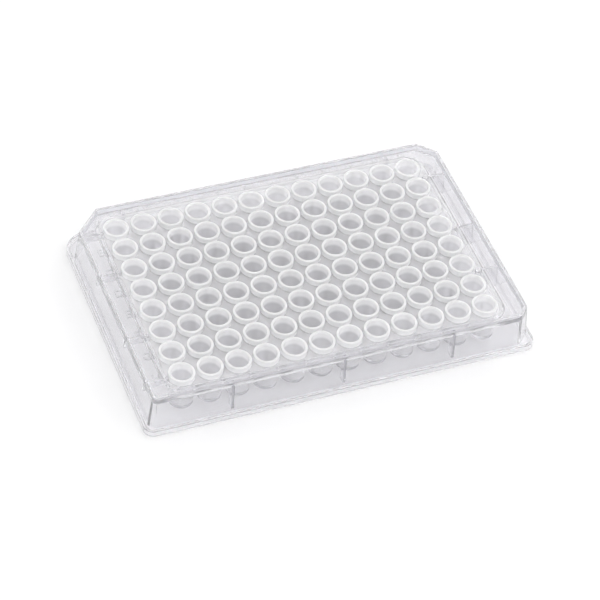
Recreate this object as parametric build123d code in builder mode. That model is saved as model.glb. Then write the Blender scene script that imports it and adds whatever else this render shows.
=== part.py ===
from build123d import *
import os
from math import radians, sqrt, tan

# A microplate: one moulding with a grid of flat-bottomed round wells that hang from a
# sunken web, inside a walled tray that stands on a stepped flange.
# Lengths are in millimetres and angles in degrees. The origin is the middle of the
# footprint on the table, +X runs from the first column to the last, and +Y from the last
# row to the first.

# Outside
plate_length = 127.76
plate_width = 85.48
plate_height = 14.35
flange_height = 2.6
ledge = 1.3  # flat step from the flange's face to the foot of the wall
wall = 1.1  # thickness of the flange, the walls and the rim
draft = 5.6  # lean of the four walls
cuts_at_rim = {"A1": 8.0, "A12": 5.4, "H12": 3.2, "H1": 1.0}  # 45 degree corners of the walls
flange_radii = {"A1": 7.5, "A12": 5.5, "H12": 3.2, "H1": 3.2}  # round corners of the flange
corner_signs = {"A1": (-1, 1), "A12": (1, 1), "H12": (1, -1), "H1": (-1, -1)}

# Grid of wells
pitch = 9.0
columns = 12
rows = 8
well_top = 13.4  # height of the wells' rings above the table
well_depth = 10.9
well_floor = 1.0  # thickness under the well
bore_radius_top = 3.25
bore_radius_bottom = 3.15
ring_radius = 4.1  # outside of a well at its ring
barrel_radius = 3.85  # outside of a well at its foot

# Deck and web
deck_top = 12.8  # margin between the rim and the wells
deck_thickness = 1.4
web_top = 11.4  # sunken sheet that joins the wells
web_thickness = 1.0
web_gap = 1.1  # from the outermost rings to the side of the sunken field

# Ribs under the deck, placed in millimetres from the middle of the grid
rib_thickness = 0.9
front_ribs = (-36.0, 0.0, 36.0)
back_ribs = (-45.0, 45.0)
left_ribs = (31.5, 13.5, -13.5, -31.5)
right_ribs = (27.0, 3.0, -16.5)
stub_depth = 2.6  # how far the ribs of the long walls stand in from the walls
left_rib_height = 2.4  # the left ribs hang from the deck and end above the flange

# Sizes that follow from the ones above
wall_height = plate_height - flange_height
lean = wall_height * tan(radians(draft))  # how far the rim stands in from the wall's foot
foot_length = plate_length - 2 * ledge
foot_width = plate_width - 2 * ledge
cut_shrink = 2 - sqrt(2)  # a 45 degree corner's leg shortens by this much per unit of inset
step_height = flange_height - wall  # underside of the flange's step
deck_underside = deck_top - deck_thickness
web_underside = web_top - web_thickness
barrel_foot = well_top - well_depth - well_floor
barrel_height = well_top - barrel_foot
field_length = (columns - 1) * pitch + 2 * (ring_radius + web_gap)
field_width = (rows - 1) * pitch + 2 * (ring_radius + web_gap)
field_radius = ring_radius + web_gap
grid_edge_x = (columns - 1) * pitch / 2
grid_edge_y = (rows - 1) * pitch / 2


def wall_outline(inset, clearance=0.0):
    """Draw the walls' outline, set in from their foot, with its corners cut at 45 degrees."""
    length = foot_length - 2 * (inset + clearance)
    width = foot_width - 2 * (inset + clearance)
    Rectangle(length, width)
    for name, (side_x, side_y) in corner_signs.items():
        cut = cuts_at_rim[name] + cut_shrink * (lean - inset - clearance)
        corner = (side_x * length / 2, side_y * width / 2)
        chamfer(vertices().sort_by_distance(corner)[0], length=cut)


def flange_outline(inset):
    """Draw the flange's outline, set in from its face, with round corners."""
    length = plate_length - 2 * inset
    width = plate_width - 2 * inset
    Rectangle(length, width)
    for name, (side_x, side_y) in corner_signs.items():
        corner = (side_x * length / 2, side_y * width / 2)
        fillet(vertices().sort_by_distance(corner)[0], radius=flange_radii[name] - inset)


# Space under the deck, less the ribs that are left standing in it
stub_length = wall + stub_depth
side_rib_length = foot_length / 2 - grid_edge_x

with BuildPart() as hollow:
    with BuildSketch(Plane.XY.offset(step_height)):
        wall_outline(wall)
    extrude(amount=deck_underside - step_height, taper=draft)
    with BuildSketch(Plane.XY.offset(flange_height)):
        for place in front_ribs:
            with Locations((place, -foot_width / 2)):
                Rectangle(rib_thickness, stub_length, align=(Align.CENTER, Align.MIN))
        for place in back_ribs:
            with Locations((place, foot_width / 2)):
                Rectangle(rib_thickness, stub_length, align=(Align.CENTER, Align.MAX))
        for place in right_ribs:
            with Locations((foot_length / 2, place)):
                Rectangle(side_rib_length, rib_thickness, align=(Align.MAX, Align.CENTER))
    extrude(amount=deck_underside - flange_height, mode=Mode.SUBTRACT)
    with BuildSketch(Plane.XY.offset(deck_underside - left_rib_height)):
        for place in left_ribs:
            with Locations((-foot_length / 2, place)):
                Rectangle(side_rib_length, rib_thickness, align=(Align.MIN, Align.CENTER))
    extrude(amount=left_rib_height, mode=Mode.SUBTRACT)

with BuildPart() as plate:
    # Flange and walls
    with BuildSketch():
        flange_outline(0)
    extrude(amount=flange_height)
    with BuildSketch(Plane.XY.offset(flange_height)):
        wall_outline(0)
    extrude(amount=wall_height, taper=draft)

    # Hollow of the flange and space under the deck
    with BuildSketch():
        flange_outline(wall)
    extrude(amount=step_height, mode=Mode.SUBTRACT)
    add(hollow.part, mode=Mode.SUBTRACT)

    # Web of the well field and the step up from it to the deck
    with BuildSketch(Plane.XY.offset(web_underside)):
        RectangleRounded(field_length + 2 * web_thickness, field_width + 2 * web_thickness,
                         field_radius + web_thickness)
    extrude(amount=deck_top - web_underside)

    # Recess inside the rim and the sunken well field
    with BuildSketch(Plane.XY.offset(plate_height)):
        wall_outline(lean, clearance=wall)
    extrude(amount=deck_top - plate_height, mode=Mode.SUBTRACT)
    with BuildSketch(Plane.XY.offset(deck_top)):
        RectangleRounded(field_length, field_width, field_radius)
    extrude(amount=web_top - deck_top, mode=Mode.SUBTRACT)

    # Wells
    with Locations((0, 0, barrel_foot)):
        with GridLocations(pitch, pitch, columns, rows):
            Cone(barrel_radius, ring_radius, barrel_height,
                 align=(Align.CENTER, Align.CENTER, Align.MIN))
    with Locations((0, 0, barrel_foot + well_floor)):
        with GridLocations(pitch, pitch, columns, rows):
            Cone(bore_radius_bottom, bore_radius_top, well_depth,
                 align=(Align.CENTER, Align.CENTER, Align.MIN), mode=Mode.SUBTRACT)

plate.part.label = "well_plate"
os.makedirs("parts", exist_ok=True)
export_step(plate.part, "parts/well_plate.step")
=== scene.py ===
import logging
import math
from dataclasses import dataclass, field
from enum import Enum

import bmesh
import bpy
from mathutils import Matrix, Vector
from mathutils.geometry import delaunay_2d_cdt

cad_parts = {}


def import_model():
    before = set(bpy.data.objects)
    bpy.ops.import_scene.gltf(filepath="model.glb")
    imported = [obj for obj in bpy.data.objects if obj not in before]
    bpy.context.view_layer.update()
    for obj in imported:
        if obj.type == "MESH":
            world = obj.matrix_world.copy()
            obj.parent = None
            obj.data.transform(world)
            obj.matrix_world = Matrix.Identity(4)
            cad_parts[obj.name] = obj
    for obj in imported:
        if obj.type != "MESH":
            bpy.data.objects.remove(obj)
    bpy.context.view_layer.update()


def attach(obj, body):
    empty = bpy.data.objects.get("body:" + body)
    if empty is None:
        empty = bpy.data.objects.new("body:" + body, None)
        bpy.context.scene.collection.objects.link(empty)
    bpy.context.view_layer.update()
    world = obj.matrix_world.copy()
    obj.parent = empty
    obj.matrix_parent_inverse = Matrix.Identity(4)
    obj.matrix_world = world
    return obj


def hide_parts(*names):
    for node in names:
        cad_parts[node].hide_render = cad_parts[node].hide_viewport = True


log = logging.getLogger("well_plate")

MM = 0.001
SLACK = 0.05  # slack in the heights and radii that part the zones, in millimetres
CUT_SHRINK = 2 - math.sqrt(2)  # how much a 45 degree cut's leg shortens for each unit of inset
INSIDE_ONLY = 1  # asks a triangulation for the triangles inside its outlines
SAME_POINT = 1e-6  # how near each other two points of a triangulation are one, in millimetres

Loop = list[tuple[float, float]]
Profile = list[tuple[float, float]]


class Corner(Enum):
    """The plate's corners, anticlockwise from the back right, with the signs of their x and y.

    Each is named for the well that is nearest.
    """

    A12 = (1, 1)
    A1 = (-1, 1)
    H1 = (-1, -1)
    H12 = (1, -1)


class Zone(Enum):
    """Parts of the skin that take different finishes, by the number of their finish."""

    TRAY = 0
    WALL = 1
    WEB = 2
    BORE = 3
    RING = 4
    BARREL = 5
    RIB = 6
    RIM = 7


# Shapes shared by the pieces


def arc_points(centre: tuple[float, float], radius: float, start: float, end: float,
               steps: int) -> Loop:
    """Points along an arc, its two ends included.

    Args:
        centre: Middle of the arc.
        radius: Radius of the arc.
        start: First angle in degrees.
        end: Last angle in degrees.
        steps: Number of equal steps from the first point to the last.

    Returns:
        steps + 1 points in order.
    """
    angles = [math.radians(start + (end - start) * i / steps) for i in range(steps + 1)]
    return [(centre[0] + radius * math.cos(a), centre[1] + radius * math.sin(a)) for a in angles]


def soften(profile: list[tuple[float, float, float]], steps: int) -> Profile:
    """Round the corners of an open path.

    Args:
        profile: Points of the path, each with the radius of the round at it.
        steps: Number of steps along each round.

    Returns:
        The path with each round written out as points.
    """
    path: Profile = []
    for i, (x, y, radius) in enumerate(profile):
        if radius <= 0 or i in (0, len(profile) - 1):
            path.append((x, y))
            continue
        here = Vector((x, y))
        back = (Vector(profile[i - 1][:2]) - here).normalized()
        ahead = (Vector(profile[i + 1][:2]) - here).normalized()
        half = back.angle(ahead) / 2
        centre = here + (back + ahead).normalized() * (radius / math.sin(half))
        first = here + back * (radius / math.tan(half)) - centre
        last = here + ahead * (radius / math.tan(half)) - centre
        for k in range(steps + 1):
            spoke = first.slerp(last, k / steps) * radius
            path.append((centre.x + spoke.x, centre.y + spoke.y))
    return path


class Skin:
    """A mesh under construction, with its points in millimetres."""

    def __init__(self) -> None:
        """Start with nothing."""
        self.points: list[tuple[float, float, float]] = []
        self.faces: list[list[int]] = []

    def ring(self, loop: Loop, height: float) -> list[int]:
        """Add a closed ring of points at one height.

        Args:
            loop: Points of the ring seen from above.
            height: Height above the table.

        Returns:
            The points' numbers.
        """
        first = len(self.points)
        self.points += [(x, y, height) for x, y in loop]
        return list(range(first, len(self.points)))

    def strip(self, lower: list[int], upper: list[int]) -> None:
        """Join two rings of the same length with a band of quads.

        Args:
            lower: Numbers of the first ring's points.
            upper: Numbers of the second ring's points.
        """
        count = len(lower)
        for i in range(count):
            j = (i + 1) % count
            self.faces.append([lower[i], lower[j], upper[j], upper[i]])

    def sheet(self, outline: list[int], holes: list[list[int]], facing_up: bool) -> None:
        """Fill a level outline with triangles, leaving its holes open.

        Args:
            outline: Numbers of the outline's points.
            holes: Numbers of each hole's points.
            facing_up: Whether the sheet faces up.
        """
        numbers = [n for loop in (outline, *holes) for n in loop]
        flat = [Vector(self.points[n][:2]) for n in numbers]
        edges, start = [], 0
        for loop in (outline, *holes):
            count = len(loop)
            edges += [(start + i, start + (i + 1) % count) for i in range(count)]
            start += count
        made = delaunay_2d_cdt(flat, edges, [], INSIDE_ONLY, SAME_POINT)
        coords, triangles, origins = made[0], made[2], made[3]
        lookup = [numbers[source[0]] for source in origins]
        groups: dict[int, int] = {n: k for k, loop in enumerate(holes) for n in loop}
        for triangle in triangles:
            names = [lookup[i] for i in triangle]
            owners = {groups.get(n, -1) for n in names}
            if len(owners) == 1 and -1 not in owners:
                continue
            a, b, c = (coords[i] for i in triangle)
            turn = (b - a).cross(c - a)
            if (turn > 0) != facing_up:
                names.reverse()
            self.faces.append(names)

    def mesh(self, name: str) -> bpy.types.Mesh:
        """Turn the skin into a Blender mesh in metres.

        Args:
            name: Name of the mesh.

        Returns:
            The mesh, with its faces as they were added.
        """
        mesh = bpy.data.meshes.new(name)
        mesh.from_pydata([(x * MM, y * MM, z * MM) for x, y, z in self.points], [], self.faces)
        mesh.validate()
        return mesh


# Sizes of the moulding


@dataclass(frozen=True)
class TraySizes:
    """Sizes of the flange, the walls, the rim and the deck, in millimetres, and draft in degrees."""

    length: float = 127.76
    width: float = 85.48
    height: float = 14.35
    flange_height: float = 2.6
    ledge: float = 1.3
    wall: float = 1.1
    draft: float = 5.6
    deck_top: float = 12.8
    deck_thickness: float = 1.4
    edge_round: float = 0.12
    inner_round: float = 0.15
    step_round: float = 0.6
    under_round: float = 0.35
    rim_cuts: dict[Corner, float] = field(default_factory=lambda: {
        Corner.A1: 8.0, Corner.A12: 5.4, Corner.H12: 3.2, Corner.H1: 1.0})
    flange_radii: dict[Corner, float] = field(default_factory=lambda: {
        Corner.A1: 7.5, Corner.A12: 5.5, Corner.H12: 3.2, Corner.H1: 3.2})

    def on_wall(self, height: float) -> bool:
        """Whether a height is between the flange and the deck."""
        return self.flange_height + SLACK < height < self.deck_top - self.deck_thickness - SLACK

    @property
    def lean(self) -> float:
        """How far the rim stands in from the foot of the wall."""
        return (self.height - self.flange_height) * math.tan(math.radians(self.draft))


@dataclass(frozen=True)
class WellSizes:
    """Sizes of the wells and of the web that joins them, in millimetres."""

    pitch: float = 9.0
    columns: int = 12
    rows: int = 8
    top: float = 13.4
    depth: float = 10.9
    floor: float = 1.0
    bore_top: float = 3.25
    bore_bottom: float = 3.15
    ring: float = 4.1
    barrel: float = 3.85
    web_top: float = 11.4
    web_thickness: float = 1.0
    web_gap: float = 1.1
    lip_round: float = 0.24
    foot_round: float = 0.4
    sides: int = 34

    @property
    def foot(self) -> float:
        """Height of a well's underside above the table."""
        return self.top - self.depth - self.floor

    def barrel_at(self, height: float) -> float:
        """Outside radius of a well at a height above the table."""
        share = (height - self.foot) / (self.top - self.foot)
        return self.barrel + (self.ring - self.barrel) * share

    def zone(self, x: float, y: float, z: float) -> Zone:
        """Which part of the moulding a point of its skin belongs to.

        Args:
            x: Place along the plate, from its middle.
            y: Place across the plate, from its middle.
            z: Height above the table.

        Returns:
            TRAY outside the grid of wells, and the part of the wells or web inside it.
        """
        radius = math.hypot(x % self.pitch - self.pitch / 2, y % self.pitch - self.pitch / 2)
        beyond = max(abs(x) - self.columns * self.pitch / 2, abs(y) - self.rows * self.pitch / 2)
        if beyond > 0 or z > self.top + SLACK:
            return Zone.TRAY
        if radius < self.bore_top + SLACK and z > self.foot + self.floor / 2:
            return Zone.BORE
        if radius < self.ring + 2 * SLACK and z > self.web_top + SLACK:
            return Zone.RING
        return Zone.WEB if z > self.web_top - self.web_thickness - SLACK else Zone.BARREL

    def centres(self) -> list[tuple[float, float]]:
        """Middles of all the wells, seen from above."""
        return [((c - (self.columns - 1) / 2) * self.pitch, ((self.rows - 1) / 2 - r) * self.pitch)
                for c in range(self.columns) for r in range(self.rows)]


# Pieces


@dataclass
class Tray:
    """The flange, walls, rim and deck, as one loft from the underside to the top.

    The runs say how far a path goes on along a flat beyond its last corner, in millimetres, and
    the shares say the same as shares of the ledge. Crease is the largest radius of the walls'
    upright edges, and least_cut the shortest leg of a cut corner, both in millimetres.
    """

    sizes: TraySizes
    wells: WellSizes
    corner_steps: int = 6
    round_steps: int = 3
    step_steps: int = 4
    crease: float = 0.7
    least_cut: float = 0.6
    inner_foot_round: float = 0.2
    outer_foot_round: float = 0.3
    deck_run: float = 1.2
    under_run: float = 0.4
    web_run: float = 0.65
    flange_run: float = 0.6
    flange_under_share: float = 0.35
    flange_top_share: float = 0.55
    wall_foot_share: float = 0.3

    def flange_loop(self, inset: float) -> Loop:
        """Outline of the flange.

        Args:
            inset: How far it is set in from the flange's face.

        Returns:
            The outline's points, anticlockwise from above.
        """
        half_x, half_y = self.sizes.length / 2 - inset, self.sizes.width / 2 - inset
        loop: Loop = []
        for number, corner in enumerate(Corner):
            sx, sy = corner.value
            radius = self.sizes.flange_radii[corner] - inset
            centre = (sx * (half_x - radius), sy * (half_y - radius))
            loop += arc_points(centre, radius, 90 * number, 90 * number + 90,
                               2 * self.corner_steps + 1)
        return loop

    def wall_loop(self, inset: float) -> Loop:
        """Outline of the walls, with its corners cut.

        Args:
            inset: How far it is set in from the foot of the walls.

        Returns:
            The outline's points, anticlockwise from above.
        """
        sizes = self.sizes
        half_x = sizes.length / 2 - sizes.ledge - inset
        half_y = sizes.width / 2 - sizes.ledge - inset
        turn = 45
        loop: Loop = []
        for number, corner in enumerate(Corner):
            sx, sy = corner.value
            cut = sizes.rim_cuts[corner] + CUT_SHRINK * (sizes.lean - inset)
            cut = max(cut, self.least_cut)
            radius = min(self.crease, cut / 2)
            near_x, near_y = (sx * half_x, sy * (half_y - cut)), (sx * (half_x - cut), sy * half_y)
            ends = (near_x, near_y) if number % 2 == 0 else (near_y, near_x)
            for k, tip in enumerate(ends):
                start = 90 * number + turn * k
                halfway = math.radians(start + turn / 2)
                outward = Vector((math.cos(halfway), math.sin(halfway)))
                middle = Vector(tip) - outward * (radius / math.cos(math.radians(turn / 2)))
                loop += arc_points((middle.x, middle.y), radius, start, start + turn,
                                   self.corner_steps)
        return loop

    def field_loop(self, margin: float) -> Loop:
        """Outline of the sunken field of wells.

        Args:
            margin: How far it is widened from the edge of the field.

        Returns:
            The outline's points, anticlockwise from above.
        """
        wells = self.wells
        radius = wells.ring + wells.web_gap + margin
        half_x = (wells.columns - 1) * wells.pitch / 2
        half_y = (wells.rows - 1) * wells.pitch / 2
        loop: Loop = []
        for number, corner in enumerate(Corner):
            sx, sy = corner.value
            loop += arc_points((sx * half_x, sy * half_y), radius, 90 * number,
                               90 * number + 90, 2 * self.corner_steps + 1)
        return loop

    def under_field(self) -> Profile:
        """Path along the underside of the step round the field.

        Returns:
            The path's points, each a margin and a height.
        """
        s, w = self.sizes, self.wells
        web_under, deck_under = w.web_top - w.web_thickness, s.deck_top - s.deck_thickness
        return soften([(w.web_thickness - self.under_run, web_under, 0),
                       (w.web_thickness, web_under, s.under_round),
                       (w.web_thickness, deck_under, s.under_round),
                       (w.web_thickness + self.under_run, deck_under, 0)], self.round_steps)

    def inner_wall(self) -> Profile:
        """Path down the inside of the walls, from the deck to the flange.

        Returns:
            The path's points, each an inset and a height.
        """
        s = self.sizes
        step, deck_under = s.flange_height - s.wall, s.deck_top - s.deck_thickness
        rise = (deck_under - step) * math.tan(math.radians(s.draft))
        return soften([(s.wall + rise + self.deck_run, deck_under, 0),
                       (s.wall + rise, deck_under, s.inner_round),
                       (s.wall, step, s.edge_round),
                       (s.wall - self.flange_run, step, 0)], self.round_steps)

    def flange(self) -> Profile:
        """Path round the flange, from its underside to its top.

        Returns:
            The path's points, each an inset and a height.
        """
        s = self.sizes
        step = s.flange_height - s.wall
        return soften([(s.wall + s.ledge * self.flange_under_share, step, 0),
                       (s.wall, step, s.inner_round),
                       (s.wall, 0, self.inner_foot_round),
                       (0, 0, self.outer_foot_round),
                       (0, s.flange_height, s.edge_round),
                       (s.ledge * self.flange_top_share, s.flange_height, 0)], self.round_steps)

    def outer_wall(self) -> Profile:
        """Path up the outside of the walls, over the rim and down to the deck.

        Returns:
            The path's points, each an inset and a height.
        """
        s = self.sizes
        return soften([(-s.ledge * self.wall_foot_share, s.flange_height, 0),
                       (0, s.flange_height, s.inner_round),
                       (s.lean, s.height, s.edge_round),
                       (s.lean + s.wall, s.height, s.edge_round),
                       (s.lean + s.wall, s.deck_top, s.inner_round),
                       (s.lean + s.wall + self.deck_run, s.deck_top, 0)], self.round_steps)

    def top_field(self) -> Profile:
        """Path down the step round the field, from the deck to the web.

        Returns:
            The path's points, each a margin and a height.
        """
        s, w = self.sizes, self.wells
        return soften([(self.deck_run, s.deck_top, 0), (0, s.deck_top, s.step_round),
                       (0, w.web_top, s.step_round), (-self.web_run, w.web_top, 0)],
                      self.step_steps)

    def build(self, skin: Skin) -> tuple[list[int], list[int]]:
        """Add the tray to a skin.

        Args:
            skin: The skin to add to.

        Returns:
            The ring round the web's underside and the ring round its top.
        """
        stretches = [(self.field_loop, self.under_field()), (self.wall_loop, self.inner_wall()),
                     (self.flange_loop, self.flange()), (self.wall_loop, self.outer_wall()),
                     (self.field_loop, self.top_field())]
        rings = [skin.ring(outline(offset), height)
                 for outline, path in stretches for offset, height in path]
        for lower, upper in zip(rings, rings[1:]):
            skin.strip(lower, upper)
        return rings[0], rings[-1]


@dataclass
class Wells:
    """The grid of wells: rings above the web, bores in them and barrels below it.

    The runs say how far a profile goes on along a flat beyond its last corner, in millimetres.
    """

    sizes: WellSizes
    round_steps: int = 3
    ring_foot_round: float = 0.12
    barrel_head_round: float = 0.2
    web_run: float = 0.16
    web_under_run: float = 0.3
    floor_run: float = 0.6

    def top_profile(self) -> Profile:
        """Path along a well from the web's top to near the middle of its floor.

        Returns:
            The path's points, each a radius and a height.
        """
        s = self.sizes
        floor_top = s.foot + s.floor
        return soften([(s.barrel_at(s.web_top) + self.web_run, s.web_top, 0),
                       (s.barrel_at(s.web_top), s.web_top, self.ring_foot_round),
                       (s.ring, s.top, s.lip_round),
                       (s.bore_top, s.top, s.lip_round),
                       (s.bore_bottom, floor_top, s.foot_round),
                       (s.bore_bottom - self.floor_run, floor_top, 0)], self.round_steps)

    def under_profile(self) -> Profile:
        """Path along a well from the web's underside to near the middle of its foot.

        Returns:
            The path's points, each a radius and a height.
        """
        s = self.sizes
        web_under = s.web_top - s.web_thickness
        return soften([(s.barrel_at(web_under) + self.web_under_run, web_under, 0),
                       (s.barrel_at(web_under), web_under, self.barrel_head_round),
                       (s.barrel, s.foot, s.foot_round),
                       (s.barrel - self.floor_run, s.foot, 0)], self.round_steps)

    def build(self, skin: Skin, under: list[int], top: list[int]) -> None:
        """Add the web and all the wells to a skin.

        Args:
            skin: The skin to add to.
            under: The ring round the web's underside.
            top: The ring round the web's top.
        """
        for outline, profile, facing_up in ((under, self.under_profile(), False),
                                            (top, self.top_profile(), True)):
            mouths = []
            for centre in self.sizes.centres():
                rings = [skin.ring(arc_points(centre, radius, 0, 360, self.sizes.sides)[:-1], height)
                         for radius, height in profile]
                for outer, inner in zip(rings, rings[1:]):
                    skin.strip(*((outer, inner) if facing_up else (inner, outer)))
                skin.faces.append(rings[-1] if facing_up else rings[-1][::-1])
                mouths.append(rings[0])
            skin.sheet(outline, mouths, facing_up)


@dataclass(frozen=True)
class RibRow:
    """Ribs along one wall, in millimetres.

    The angle points from the middle of the plate to the wall, in degrees. Places are measured
    along the wall from its middle, end is how far from the middle of the plate the ribs stop,
    and low is the height of their lower edge.
    """

    angle: int
    places: tuple[float, ...]
    end: float
    low: float


@dataclass
class Ribs:
    """Upright sheets under the deck, between the walls and the wells.

    Long ribs end inside the barrels, at the barrel_reach share of their radius. End slack is how
    far a face's middle may be from the inner end of a rib to count as part of it.
    """

    tray: TraySizes
    wells: WellSizes
    thickness: float = 0.9
    stub_depth: float = 2.6
    hanging_height: float = 2.4
    barrel_reach: float = 0.96
    end_slack: float = 0.02
    front: tuple[float, ...] = (-36.0, 0.0, 36.0)
    back: tuple[float, ...] = (-45.0, 45.0)
    left: tuple[float, ...] = (31.5, 13.5, -13.5, -31.5)
    right: tuple[float, ...] = (27.0, 3.0, -16.5)

    def rows(self) -> list[RibRow]:
        """Place the ribs along each wall.

        Returns:
            The rows of ribs, one for each wall.
        """
        t, w = self.tray, self.wells
        to_barrel = (w.columns - 1) * w.pitch / 2 + w.barrel * self.barrel_reach
        to_stub = t.width / 2 - t.ledge - t.wall - self.stub_depth
        hanging = t.deck_top - t.deck_thickness - self.hanging_height
        return [RibRow(0, self.right, to_barrel, t.flange_height),
                RibRow(90, tuple(-x for x in self.back), to_stub, t.flange_height),
                RibRow(180, tuple(-y for y in self.left), to_barrel, hanging),
                RibRow(270, self.front, to_stub, t.flange_height)]

    def ends_at(self, place: Vector) -> bool:
        """Whether a face is the inner end of a rib.

        Args:
            place: Middle of the face, in millimetres.

        Returns:
            True for the upright end face that looks to the wells.
        """
        for row in self.rows():
            out, along, height = Matrix.Rotation(math.radians(-row.angle), 3, "Z") @ place
            if abs(out - row.end) < self.end_slack and height > row.low:
                return any(abs(along - p) < self.thickness / 2 for p in row.places)
        return False

    def build(self) -> list[bpy.types.Object]:
        """Make one closed sheet for each rib.

        Returns:
            The ribs, each reaching a little into the wall and the deck.
        """
        return [self.sheet(f"rib_{row.angle}_{number}", row, place)
                for row in self.rows() for number, place in enumerate(row.places)]

    def sheet(self, name: str, row: RibRow, place: float) -> bpy.types.Object:
        """Make one rib.

        Args:
            name: Name of the rib.
            row: The row that it belongs to.
            place: Its place along the wall.

        Returns:
            The rib's object.
        """
        t = self.tray
        slope = math.tan(math.radians(t.draft))
        size = t.length if row.angle in (0, 180) else t.width
        foot = size / 2 - t.ledge - t.wall / 2
        high = t.deck_top - t.deck_thickness / 2
        outer = [foot - (z - t.flange_height) * slope for z in (row.low, high)]
        side = [(outer[0], row.low), (outer[1], high), (row.end, high), (row.end, row.low)]
        skin = Skin()
        turn = Matrix.Rotation(math.radians(row.angle), 3, "Z")
        for offset in (-self.thickness / 2, self.thickness / 2):
            for out, height in side:
                skin.points.append(tuple(turn @ Vector((out, place + offset, height))))
        skin.faces = [[0, 1, 2, 3], [7, 6, 5, 4]]
        skin.faces += [[i + 4, (i + 1) % 4 + 4, (i + 1) % 4, i] for i in range(4)]
        obj = bpy.data.objects.new(name, skin.mesh(name))
        bpy.context.scene.collection.objects.link(obj)
        return obj


@dataclass
class Marks:
    """Raised row letters on the left margin and column numbers on the back margin.

    Sizes are in millimetres, apart from weld, the distance in metres under which two points are
    made one. Heights are those of the capitals, which are capital_share of a letter's line.
    """

    tray: TraySizes
    wells: WellSizes
    letter_x: float = -57.2
    letter_height: float = 2.9
    number_y: float = 37.9
    number_height: float = 2.0
    relief: float = 0.18
    sunk: float = 0.3
    capital_share: float = 0.7
    curve_steps: int = 3
    weld: float = 1e-7

    def build(self) -> list[bpy.types.Object]:
        """Make the letters and numbers.

        Returns:
            One closed object for each mark, sunk a little into the deck.
        """
        w = self.wells
        made = []
        for row in range(w.rows):
            y = ((w.rows - 1) / 2 - row) * w.pitch
            made.append(self.mark("ABCDEFGH"[row], (self.letter_x, y), self.letter_height))
        for column in range(w.columns):
            x = (column - (w.columns - 1) / 2) * w.pitch
            made.append(self.mark(str(column + 1), (x, self.number_y), self.number_height))
        return made

    def mark(self, text: str, place: tuple[float, float], height: float) -> bpy.types.Object:
        """Make one raised mark.

        Args:
            text: The letter or number.
            place: Its middle, seen from above.
            height: Height of its capitals.

        Returns:
            The mark's object.
        """
        curve = bpy.data.curves.new(f"mark_{text}", "FONT")
        curve.body, curve.size = text, height / self.capital_share
        curve.align_x, curve.align_y = "CENTER", "CENTER"
        curve.resolution_u = self.curve_steps
        curve.extrude = (self.relief + self.sunk) / 2
        source = bpy.data.objects.new(curve.name, curve)
        mesh = bpy.data.meshes.new_from_object(source)
        bpy.data.objects.remove(source)
        middle = self.tray.deck_top + (self.relief - self.sunk) / 2
        mesh.transform(Matrix.Scale(MM, 4) @ Matrix.Translation((*place, middle)))
        bm = bmesh.new()
        bm.from_mesh(mesh)
        bmesh.ops.remove_doubles(bm, verts=bm.verts, dist=self.weld)
        bm.to_mesh(mesh)
        bm.free()
        obj = bpy.data.objects.new(f"mark_{text}", mesh)
        bpy.context.scene.collection.objects.link(obj)
        return obj


# Finishes


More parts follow.
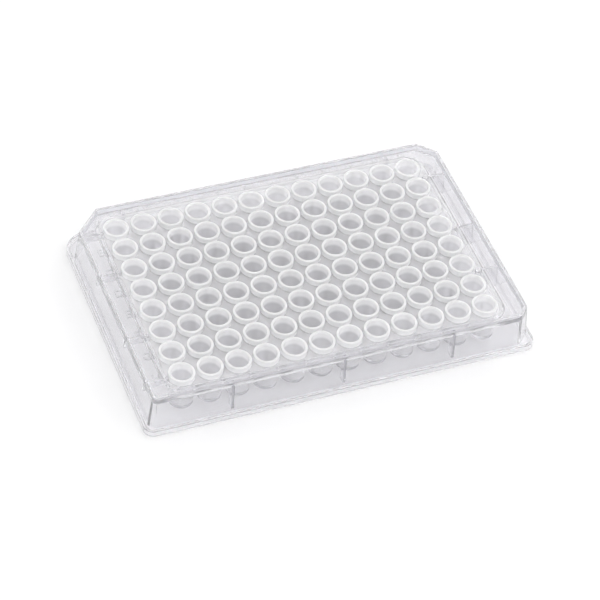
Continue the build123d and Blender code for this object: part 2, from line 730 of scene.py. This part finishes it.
@dataclass(frozen=True)
class ClearPolystyrene:
    """Clear, hard, glossy moulded plastic with a faint cold tint, the same all over.

    Where flow_marks is above smooth, the roughness varies between them in soft patches about a
    centimetre across, with finer ones in them. Where high_clarity and high_tint are given, the
    plastic changes to them between the low and the high height, both in millimetres above the table.
    """

    name: str = "clear_polystyrene"
    tint: tuple[float, float, float] = (0.97, 0.966, 0.98)
    ior: float = 1.585
    clarity: float = 0.91
    high_clarity: float | None = None
    high_tint: tuple[float, float, float] | None = None
    low: float = 11.4
    high: float = 13.3
    smooth: float = 0.0
    flow_marks: float = 0.0
    flow_scale: float = 90
    flow_detail: float = 3

    def material(self) -> bpy.types.Material:
        """Make the material.

        Returns:
            The plastic, with the flow marks and the change with height that it has, if any.
        """
        material = bpy.data.materials.new(self.name)
        material.use_nodes = True
        shader = material.node_tree.nodes["Principled BSDF"]
        shader.inputs["Base Color"].default_value = (*self.tint, 1)
        shader.inputs["Transmission Weight"].default_value = self.clarity
        shader.inputs["IOR"].default_value = self.ior
        shader.inputs["Roughness"].default_value = self.smooth
        if self.flow_marks > self.smooth:
            self.mark_flow(material)
        if self.high_clarity is not None and self.high_tint is not None:
            self.change_with_height(material)
        return material

    def mark_flow(self, material: bpy.types.Material) -> None:
        """Vary the roughness in soft patches.

        Args:
            material: The material that is marked.
        """
        nodes, links = material.node_tree.nodes, material.node_tree.links
        where = nodes.new("ShaderNodeTexCoord")
        noise = nodes.new("ShaderNodeTexNoise")
        noise.inputs["Scale"].default_value = self.flow_scale
        noise.inputs["Detail"].default_value = self.flow_detail
        links.new(where.outputs["Object"], noise.inputs["Vector"])
        rough = nodes.new("ShaderNodeMapRange")
        rough.inputs["To Min"].default_value = self.smooth
        rough.inputs["To Max"].default_value = self.flow_marks
        links.new(noise.outputs["Fac"], rough.inputs["Value"])
        links.new(rough.outputs["Result"], nodes["Principled BSDF"].inputs["Roughness"])

    def change_with_height(self, material: bpy.types.Material) -> None:
        """Fade the clarity and the tint from the low height to the high one.

        Args:
            material: The material that changes.
        """
        nodes, links = material.node_tree.nodes, material.node_tree.links
        shader = nodes["Principled BSDF"]
        where = nodes.new("ShaderNodeTexCoord")
        place = nodes.new("ShaderNodeSeparateXYZ")
        links.new(where.outputs["Object"], place.inputs["Vector"])
        share = nodes.new("ShaderNodeMapRange")
        share.interpolation_type = "SMOOTHSTEP"
        share.inputs["From Min"].default_value = self.low * MM
        share.inputs["From Max"].default_value = self.high * MM
        links.new(place.outputs["Z"], share.inputs["Value"])
        clarity = nodes.new("ShaderNodeMapRange")
        clarity.inputs["To Min"].default_value = self.clarity
        clarity.inputs["To Max"].default_value = self.high_clarity
        links.new(share.outputs["Result"], clarity.inputs["Value"])
        links.new(clarity.outputs["Result"], shader.inputs["Transmission Weight"])
        # The tint's fade with height is painted shade: darker deep in the bores, greyer at the
        # rings' lips.
        ramp = nodes.new("ShaderNodeValToRGB")
        ramp.color_ramp.elements[0].color = (*self.tint, 1)
        ramp.color_ramp.elements[1].color = (*self.high_tint, 1)
        links.new(share.outputs["Result"], ramp.inputs["Fac"])
        links.new(ramp.outputs["Color"], shader.inputs["Base Color"])


@dataclass(frozen=True)
class WallPaintedShade(ClearPolystyrene):
    """The same plastic in the four walls and the sides of the ribs, with a darker tint that is
    painted shade for the shade under the wells seen through them.
    """

    name: str = "wall_painted_shade"
    tint: tuple[float, float, float] = (0.893, 0.891, 0.91)


@dataclass(frozen=True)
class HazyWeb(ClearPolystyrene):
    """The same plastic on the web between the wells and on the step round it, less clear."""

    name: str = "hazy_web"
    tint: tuple[float, float, float] = (0.996, 0.994, 0.999)
    clarity: float = 0.72


@dataclass(frozen=True)
class MistedBorePaintedShade(ClearPolystyrene):
    """The same plastic inside the wells, less clear, with painted shade: its tint is darker deep in
    the wells and paler towards their mouths.
    """

    name: str = "misted_bore_painted_shade"
    tint: tuple[float, float, float] = (0.962, 0.96, 0.97)
    clarity: float = 0.45
    high_clarity: float = 0.18
    high_tint: tuple[float, float, float] = (0.998, 0.997, 1.0)
    low: float = 10.2
    high: float = 11.8


@dataclass(frozen=True)
class BurnishedRingPaintedShade(ClearPolystyrene):
    """The same plastic on the wells' rings, a little rough and less clear, with painted shade that
    makes it greyer at the lips.
    """

    name: str = "burnished_ring_painted_shade"
    tint: tuple[float, float, float] = (0.998, 0.998, 1.0)
    clarity: float = 0.25
    high_clarity: float = 0.28
    high_tint: tuple[float, float, float] = (0.93, 0.93, 0.933)
    smooth: float = 0.1
    flow_marks: float = 0.3


@dataclass(frozen=True)
class Barrel(ClearPolystyrene):
    """The same plastic on the outside of the wells, below the web."""

    name: str = "barrel"
    tint: tuple[float, float, float] = (0.985, 0.983, 0.99)


@dataclass(frozen=True)
class HazyRim(ClearPolystyrene):
    """The same plastic on the inner side of the rim, hazy and with more of its tint."""

    name: str = "hazy_rim"
    tint: tuple[float, float, float] = (0.84, 0.84, 0.885)
    clarity: float = 0.35


@dataclass(frozen=True)
class RibEndPaintedShade(ClearPolystyrene):
    """The same plastic on the inner ends of the ribs, tinted dark grey: painted shade for how dark
    they look through the walls.
    """

    name: str = "rib_end_painted_shade"
    tint: tuple[float, float, float] = (0.5, 0.5, 0.54)
    clarity: float = 0.5


FINISHES: dict[Zone, ClearPolystyrene] = {
    Zone.TRAY: ClearPolystyrene(), Zone.WALL: WallPaintedShade(), Zone.WEB: HazyWeb(),
    Zone.BORE: MistedBorePaintedShade(), Zone.RING: BurnishedRingPaintedShade(), Zone.BARREL: Barrel(),
    Zone.RIB: RibEndPaintedShade(), Zone.RIM: HazyRim()}


@dataclass(frozen=True)
class StudioFloor:
    """White, polished table top."""

    name: str = "studio_floor"
    white: float = 0.98
    roughness: float = 0.12

    def material(self) -> bpy.types.Material:
        """Make the material.

        Returns:
            The table top's white.
        """
        material = bpy.data.materials.new(self.name)
        material.use_nodes = True
        shader = material.node_tree.nodes["Principled BSDF"]
        shader.inputs["Base Color"].default_value = (self.white,) * 3 + (1,)
        shader.inputs["Roughness"].default_value = self.roughness
        return material


# Stage


@dataclass
class Studio:
    """The camera, the lamps, the table top and the white surroundings.

    The camera's distance, aim and sensor are in millimetres, all other lengths in metres and the
    angles in degrees. The focal share is the focal length over the sensor's width.
    """

    azimuth: float = -25.68
    elevation: float = 46.35
    roll: float = 6.79
    distance: float = 827.3
    aim: tuple[float, float, float] = (0.46, -2.44, 0.0)
    focal_share: float = 4.3935
    sensor: float = 36
    clip: tuple[float, float] = (0.01, 20)
    world_light: float = 1.03
    light_steps: int = 48
    key_place: tuple[float, float, float] = (0.75, 0.35, 1.0)
    key_size: float = 0.5
    key_power: float = 0.8
    fill_place: tuple[float, float, float] = (0.7, -0.5, 0.8)
    fill_size: float = 0.8
    fill_power: float = 1
    floor_radii: tuple[float, float] = (0.4, 4.0)
    floor_sides: int = 64
    floor_drop: float = 0.00002

    def camera(self) -> None:
        """Place the camera."""
        data = bpy.data.cameras.new("studio_camera")
        data.sensor_width = self.sensor
        data.lens = data.sensor_width * self.focal_share
        data.clip_start, data.clip_end = self.clip
        obj = bpy.data.objects.new("studio_camera", data)
        a, e = math.radians(self.azimuth), math.radians(self.elevation)
        back = Vector((math.sin(a) * math.cos(e), -math.cos(a) * math.cos(e), math.sin(e)))
        right = Vector((math.cos(a), math.sin(a), 0))
        up = back.cross(right)
        turn = Matrix.Rotation(math.radians(self.roll), 3, back)
        right, up = turn @ right, turn @ up
        frame = Matrix((right, up, back)).transposed().to_4x4()
        frame.translation = (Vector(self.aim) + back * self.distance) * MM
        obj.matrix_world = frame
        bpy.context.scene.collection.objects.link(obj)
        bpy.context.scene.camera = obj

    def lamp(self, name: str, place: tuple[float, float, float], size: float, power: float) -> None:
        """Hang a square soft lamp that points at the plate.

        Args:
            name: Name of the lamp.
            place: Where it hangs, in metres.
            size: Length of its side, in metres.
            power: Its power in watts.
        """
        data = bpy.data.lights.new(name, "AREA")
        data.shape, data.size, data.energy = "SQUARE", size, power
        obj = bpy.data.objects.new(name, data)
        obj.location = place
        obj.rotation_euler = (-Vector(place)).to_track_quat("-Z", "Y").to_euler()
        bpy.context.scene.collection.objects.link(obj)

    def floor(self) -> None:
        """Lay the table top."""
        mesh = bpy.data.meshes.new("studio_floor")
        sides = self.floor_sides
        rings = [arc_points((0, 0), radius, 0, 360, sides)[:-1] for radius in self.floor_radii]
        points = [(x, y, -self.floor_drop) for ring in rings for x, y in ring]
        faces = [list(range(sides))]
        faces += [[i, i + sides, (i + 1) % sides + sides, (i + 1) % sides] for i in range(sides)]
        mesh.from_pydata(points, [], faces)
        mesh.materials.append(StudioFloor().material())
        obj = bpy.data.objects.new("studio_floor", mesh)
        bpy.context.scene.collection.objects.link(obj)

    def surroundings(self) -> None:
        """Make the world white to the eye and even in its light."""
        world = bpy.data.worlds.new("studio_world")
        bpy.context.scene.world = world
        world.use_nodes = True
        nodes, links = world.node_tree.nodes, world.node_tree.links
        sky = nodes["Background"]
        sky.inputs["Color"].default_value = (1, 1, 1, 1)
        path = nodes.new("ShaderNodeLightPath")
        seen = nodes.new("ShaderNodeMath")
        seen.operation = "MAXIMUM"
        links.new(path.outputs["Is Camera Ray"], seen.inputs[0])
        links.new(path.outputs["Is Glossy Ray"], seen.inputs[1])
        through = nodes.new("ShaderNodeMath")
        through.operation = "MAXIMUM"
        links.new(seen.outputs[0], through.inputs[0])
        links.new(path.outputs["Is Transmission Ray"], through.inputs[1])
        level = nodes.new("ShaderNodeMapRange")
        level.inputs["To Min"].default_value = self.world_light
        level.inputs["To Max"].default_value = 1
        links.new(through.outputs[0], level.inputs["Value"])
        links.new(level.outputs["Result"], sky.inputs["Strength"])

    def build(self) -> None:
        """Set up the whole stage."""
        self.camera()
        self.floor()
        self.surroundings()
        self.lamp("key_lamp", self.key_place, self.key_size, self.key_power)
        self.lamp("fill_lamp", self.fill_place, self.fill_size, self.fill_power)
        self.light_paths()
        bpy.context.scene.view_settings.view_transform = "Standard"

    def light_paths(self) -> None:
        """Let light pass through the many walls of the clear plastic."""
        cycles = bpy.context.scene.cycles
        cycles.max_bounces = self.light_steps
        cycles.transmission_bounces = self.light_steps
        cycles.glossy_bounces = self.light_steps
        cycles.diffuse_bounces = self.light_steps
        cycles.blur_glossy = 0


# The whole


@dataclass
class Plate:
    """The whole moulding.

    A face of the tray's top is on an inner side where its direction and the direction from the
    plate's middle have a product under inner_side. The rim's inner side starts rim_foot
    millimetres above the deck. Edges that turn by more than sharp_angle degrees are shaded sharp.
    """

    tray: TraySizes = field(default_factory=TraySizes)
    wells: WellSizes = field(default_factory=WellSizes)
    inner_side: float = -0.3
    rim_foot: float = 0.2
    sharp_angle: float = 38

    def build(self) -> bpy.types.Object:
        """Build the moulding, give it its finishes and put it in place of its solid.

        Returns:
            The moulding's object.
        """
        skin = Skin()
        under, top = Tray(self.tray, self.wells).build(skin)
        Wells(self.wells).build(skin, under, top)
        obj = bpy.data.objects.new("plate_moulding", skin.mesh("plate_moulding"))
        bpy.context.scene.collection.objects.link(obj)
        ribs = Ribs(self.tray, self.wells)
        self.join(obj, ribs.build() + Marks(self.tray, self.wells).build())
        self.shade(obj)
        self.dress(obj, ribs)
        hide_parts("well_plate")
        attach(obj, "root")
        return obj

    def join(self, obj: bpy.types.Object, parts: list[bpy.types.Object]) -> None:
        """Unite the parts with the moulding into one closed skin.

        Args:
            obj: The moulding, which takes the united mesh.
            parts: Closed objects that reach into it, which are used up.
        """
        group = bpy.data.collections.new("to_join")
        bpy.context.scene.collection.children.link(group)
        for part in parts:
            bpy.context.scene.collection.objects.unlink(part)
            group.objects.link(part)
        union = obj.modifiers.new("union", "BOOLEAN")
        union.operation, union.solver = "UNION", "MANIFOLD"
        union.operand_type, union.collection = "COLLECTION", group
        graph = bpy.context.evaluated_depsgraph_get()
        joined = bpy.data.meshes.new_from_object(obj.evaluated_get(graph))
        obj.modifiers.clear()
        obj.data = joined
        for part in parts:
            bpy.data.objects.remove(part)
        bpy.data.collections.remove(group)

    def dress(self, obj: bpy.types.Object, ribs: Ribs) -> None:
        """Give each zone of the moulding its finish.

        Args:
            obj: The moulding.
            ribs: Its ribs.
        """
        mesh = obj.data
        mesh.materials.clear()
        for zone in Zone:
            mesh.materials.append(FINISHES[zone].material())
        for face in mesh.polygons:
            place = face.center / MM
            # Rib ends take the dark grey rib-end finish, which is painted shade.
            zone = Zone.RIB if ribs.ends_at(place) else self.zone(place, face.normal)
            face.material_index = zone.value

    def zone(self, place: Vector, facing: Vector) -> Zone:
        """Which part of the moulding a face belongs to, apart from the ribs.

        Args:
            place: Middle of the face, in millimetres.
            facing: Direction that the face points in.

        Returns:
            The zone of the face.
        """
        zone = self.wells.zone(*place)
        if zone is not Zone.TRAY:
            return zone
        # The walls take the darker wall tint, which is painted shade.
        if self.tray.on_wall(place.z):
            return Zone.WALL
        inner = facing.xy.dot(place.xy.normalized()) < self.inner_side
        if inner and place.z > self.wells.web_top + SLACK:
            return Zone.RIM if place.z > self.tray.deck_top + self.rim_foot else Zone.WEB
        return zone

    def shade(self, obj: bpy.types.Object) -> None:
        """Shade the rounds smoothly and keep the flats flat.

        Args:
            obj: The moulding.
        """
        mesh = obj.data
        mesh.shade_smooth()
        mesh.set_sharp_from_angle(angle=math.radians(self.sharp_angle))
        weighted = obj.modifiers.new("weighted_normals", "WEIGHTED_NORMAL")
        weighted.keep_sharp = True


def report(plate: bpy.types.Object) -> None:
    """Log what the moulding's mesh holds.

    Args:
        plate: The moulding.
    """
    bm = bmesh.new()
    bm.from_mesh(plate.data)
    log.info("%s: %d points, %d faces", plate.name, len(bm.verts), len(bm.faces))
    loose = sum(1 for edge in bm.edges if not edge.is_manifold)
    log.info("volume %.1f mm3, open edges %d", bm.calc_volume(signed=True) / MM ** 3, loose)
    bm.free()


def main() -> None:
    """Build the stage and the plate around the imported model."""
    logging.basicConfig(level=logging.INFO, format="%(name)s: %(message)s")
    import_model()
    Studio().build()
    report(Plate().build())


if __name__ == "__main__":
    main()
